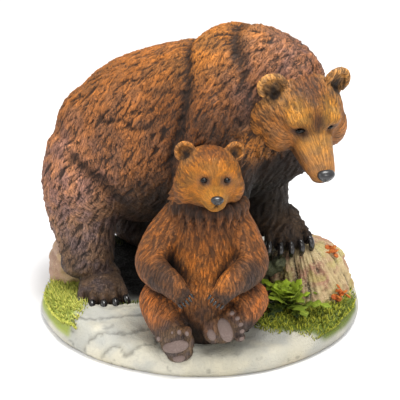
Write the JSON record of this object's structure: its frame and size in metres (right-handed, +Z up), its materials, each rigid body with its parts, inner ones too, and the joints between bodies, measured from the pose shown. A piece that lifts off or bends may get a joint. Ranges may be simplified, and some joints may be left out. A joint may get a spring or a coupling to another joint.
{
  "type": "bear figurine",
  "caption": "Cast figurine of a standing bear bowed over her seated cub, on a rocky oval base with stump, plant and grass; it stands on its flat underside.",
  "frame": {"origin": "middle of the oval base on its flat underside", "axes": "+Z up; the figurine's front, to which the cub's soles point, faces -Y; +X runs towards the stump"},
  "size_m": [0.2167, 0.188, 0.201],
  "materials": {
    "painted resin": "hand-painted cold-cast resin in browns, with a pale stone and green base"
  },
  "bodies": {
    "root": {"bear_figurine": "painted resin"}
  },
  "joints": []
}
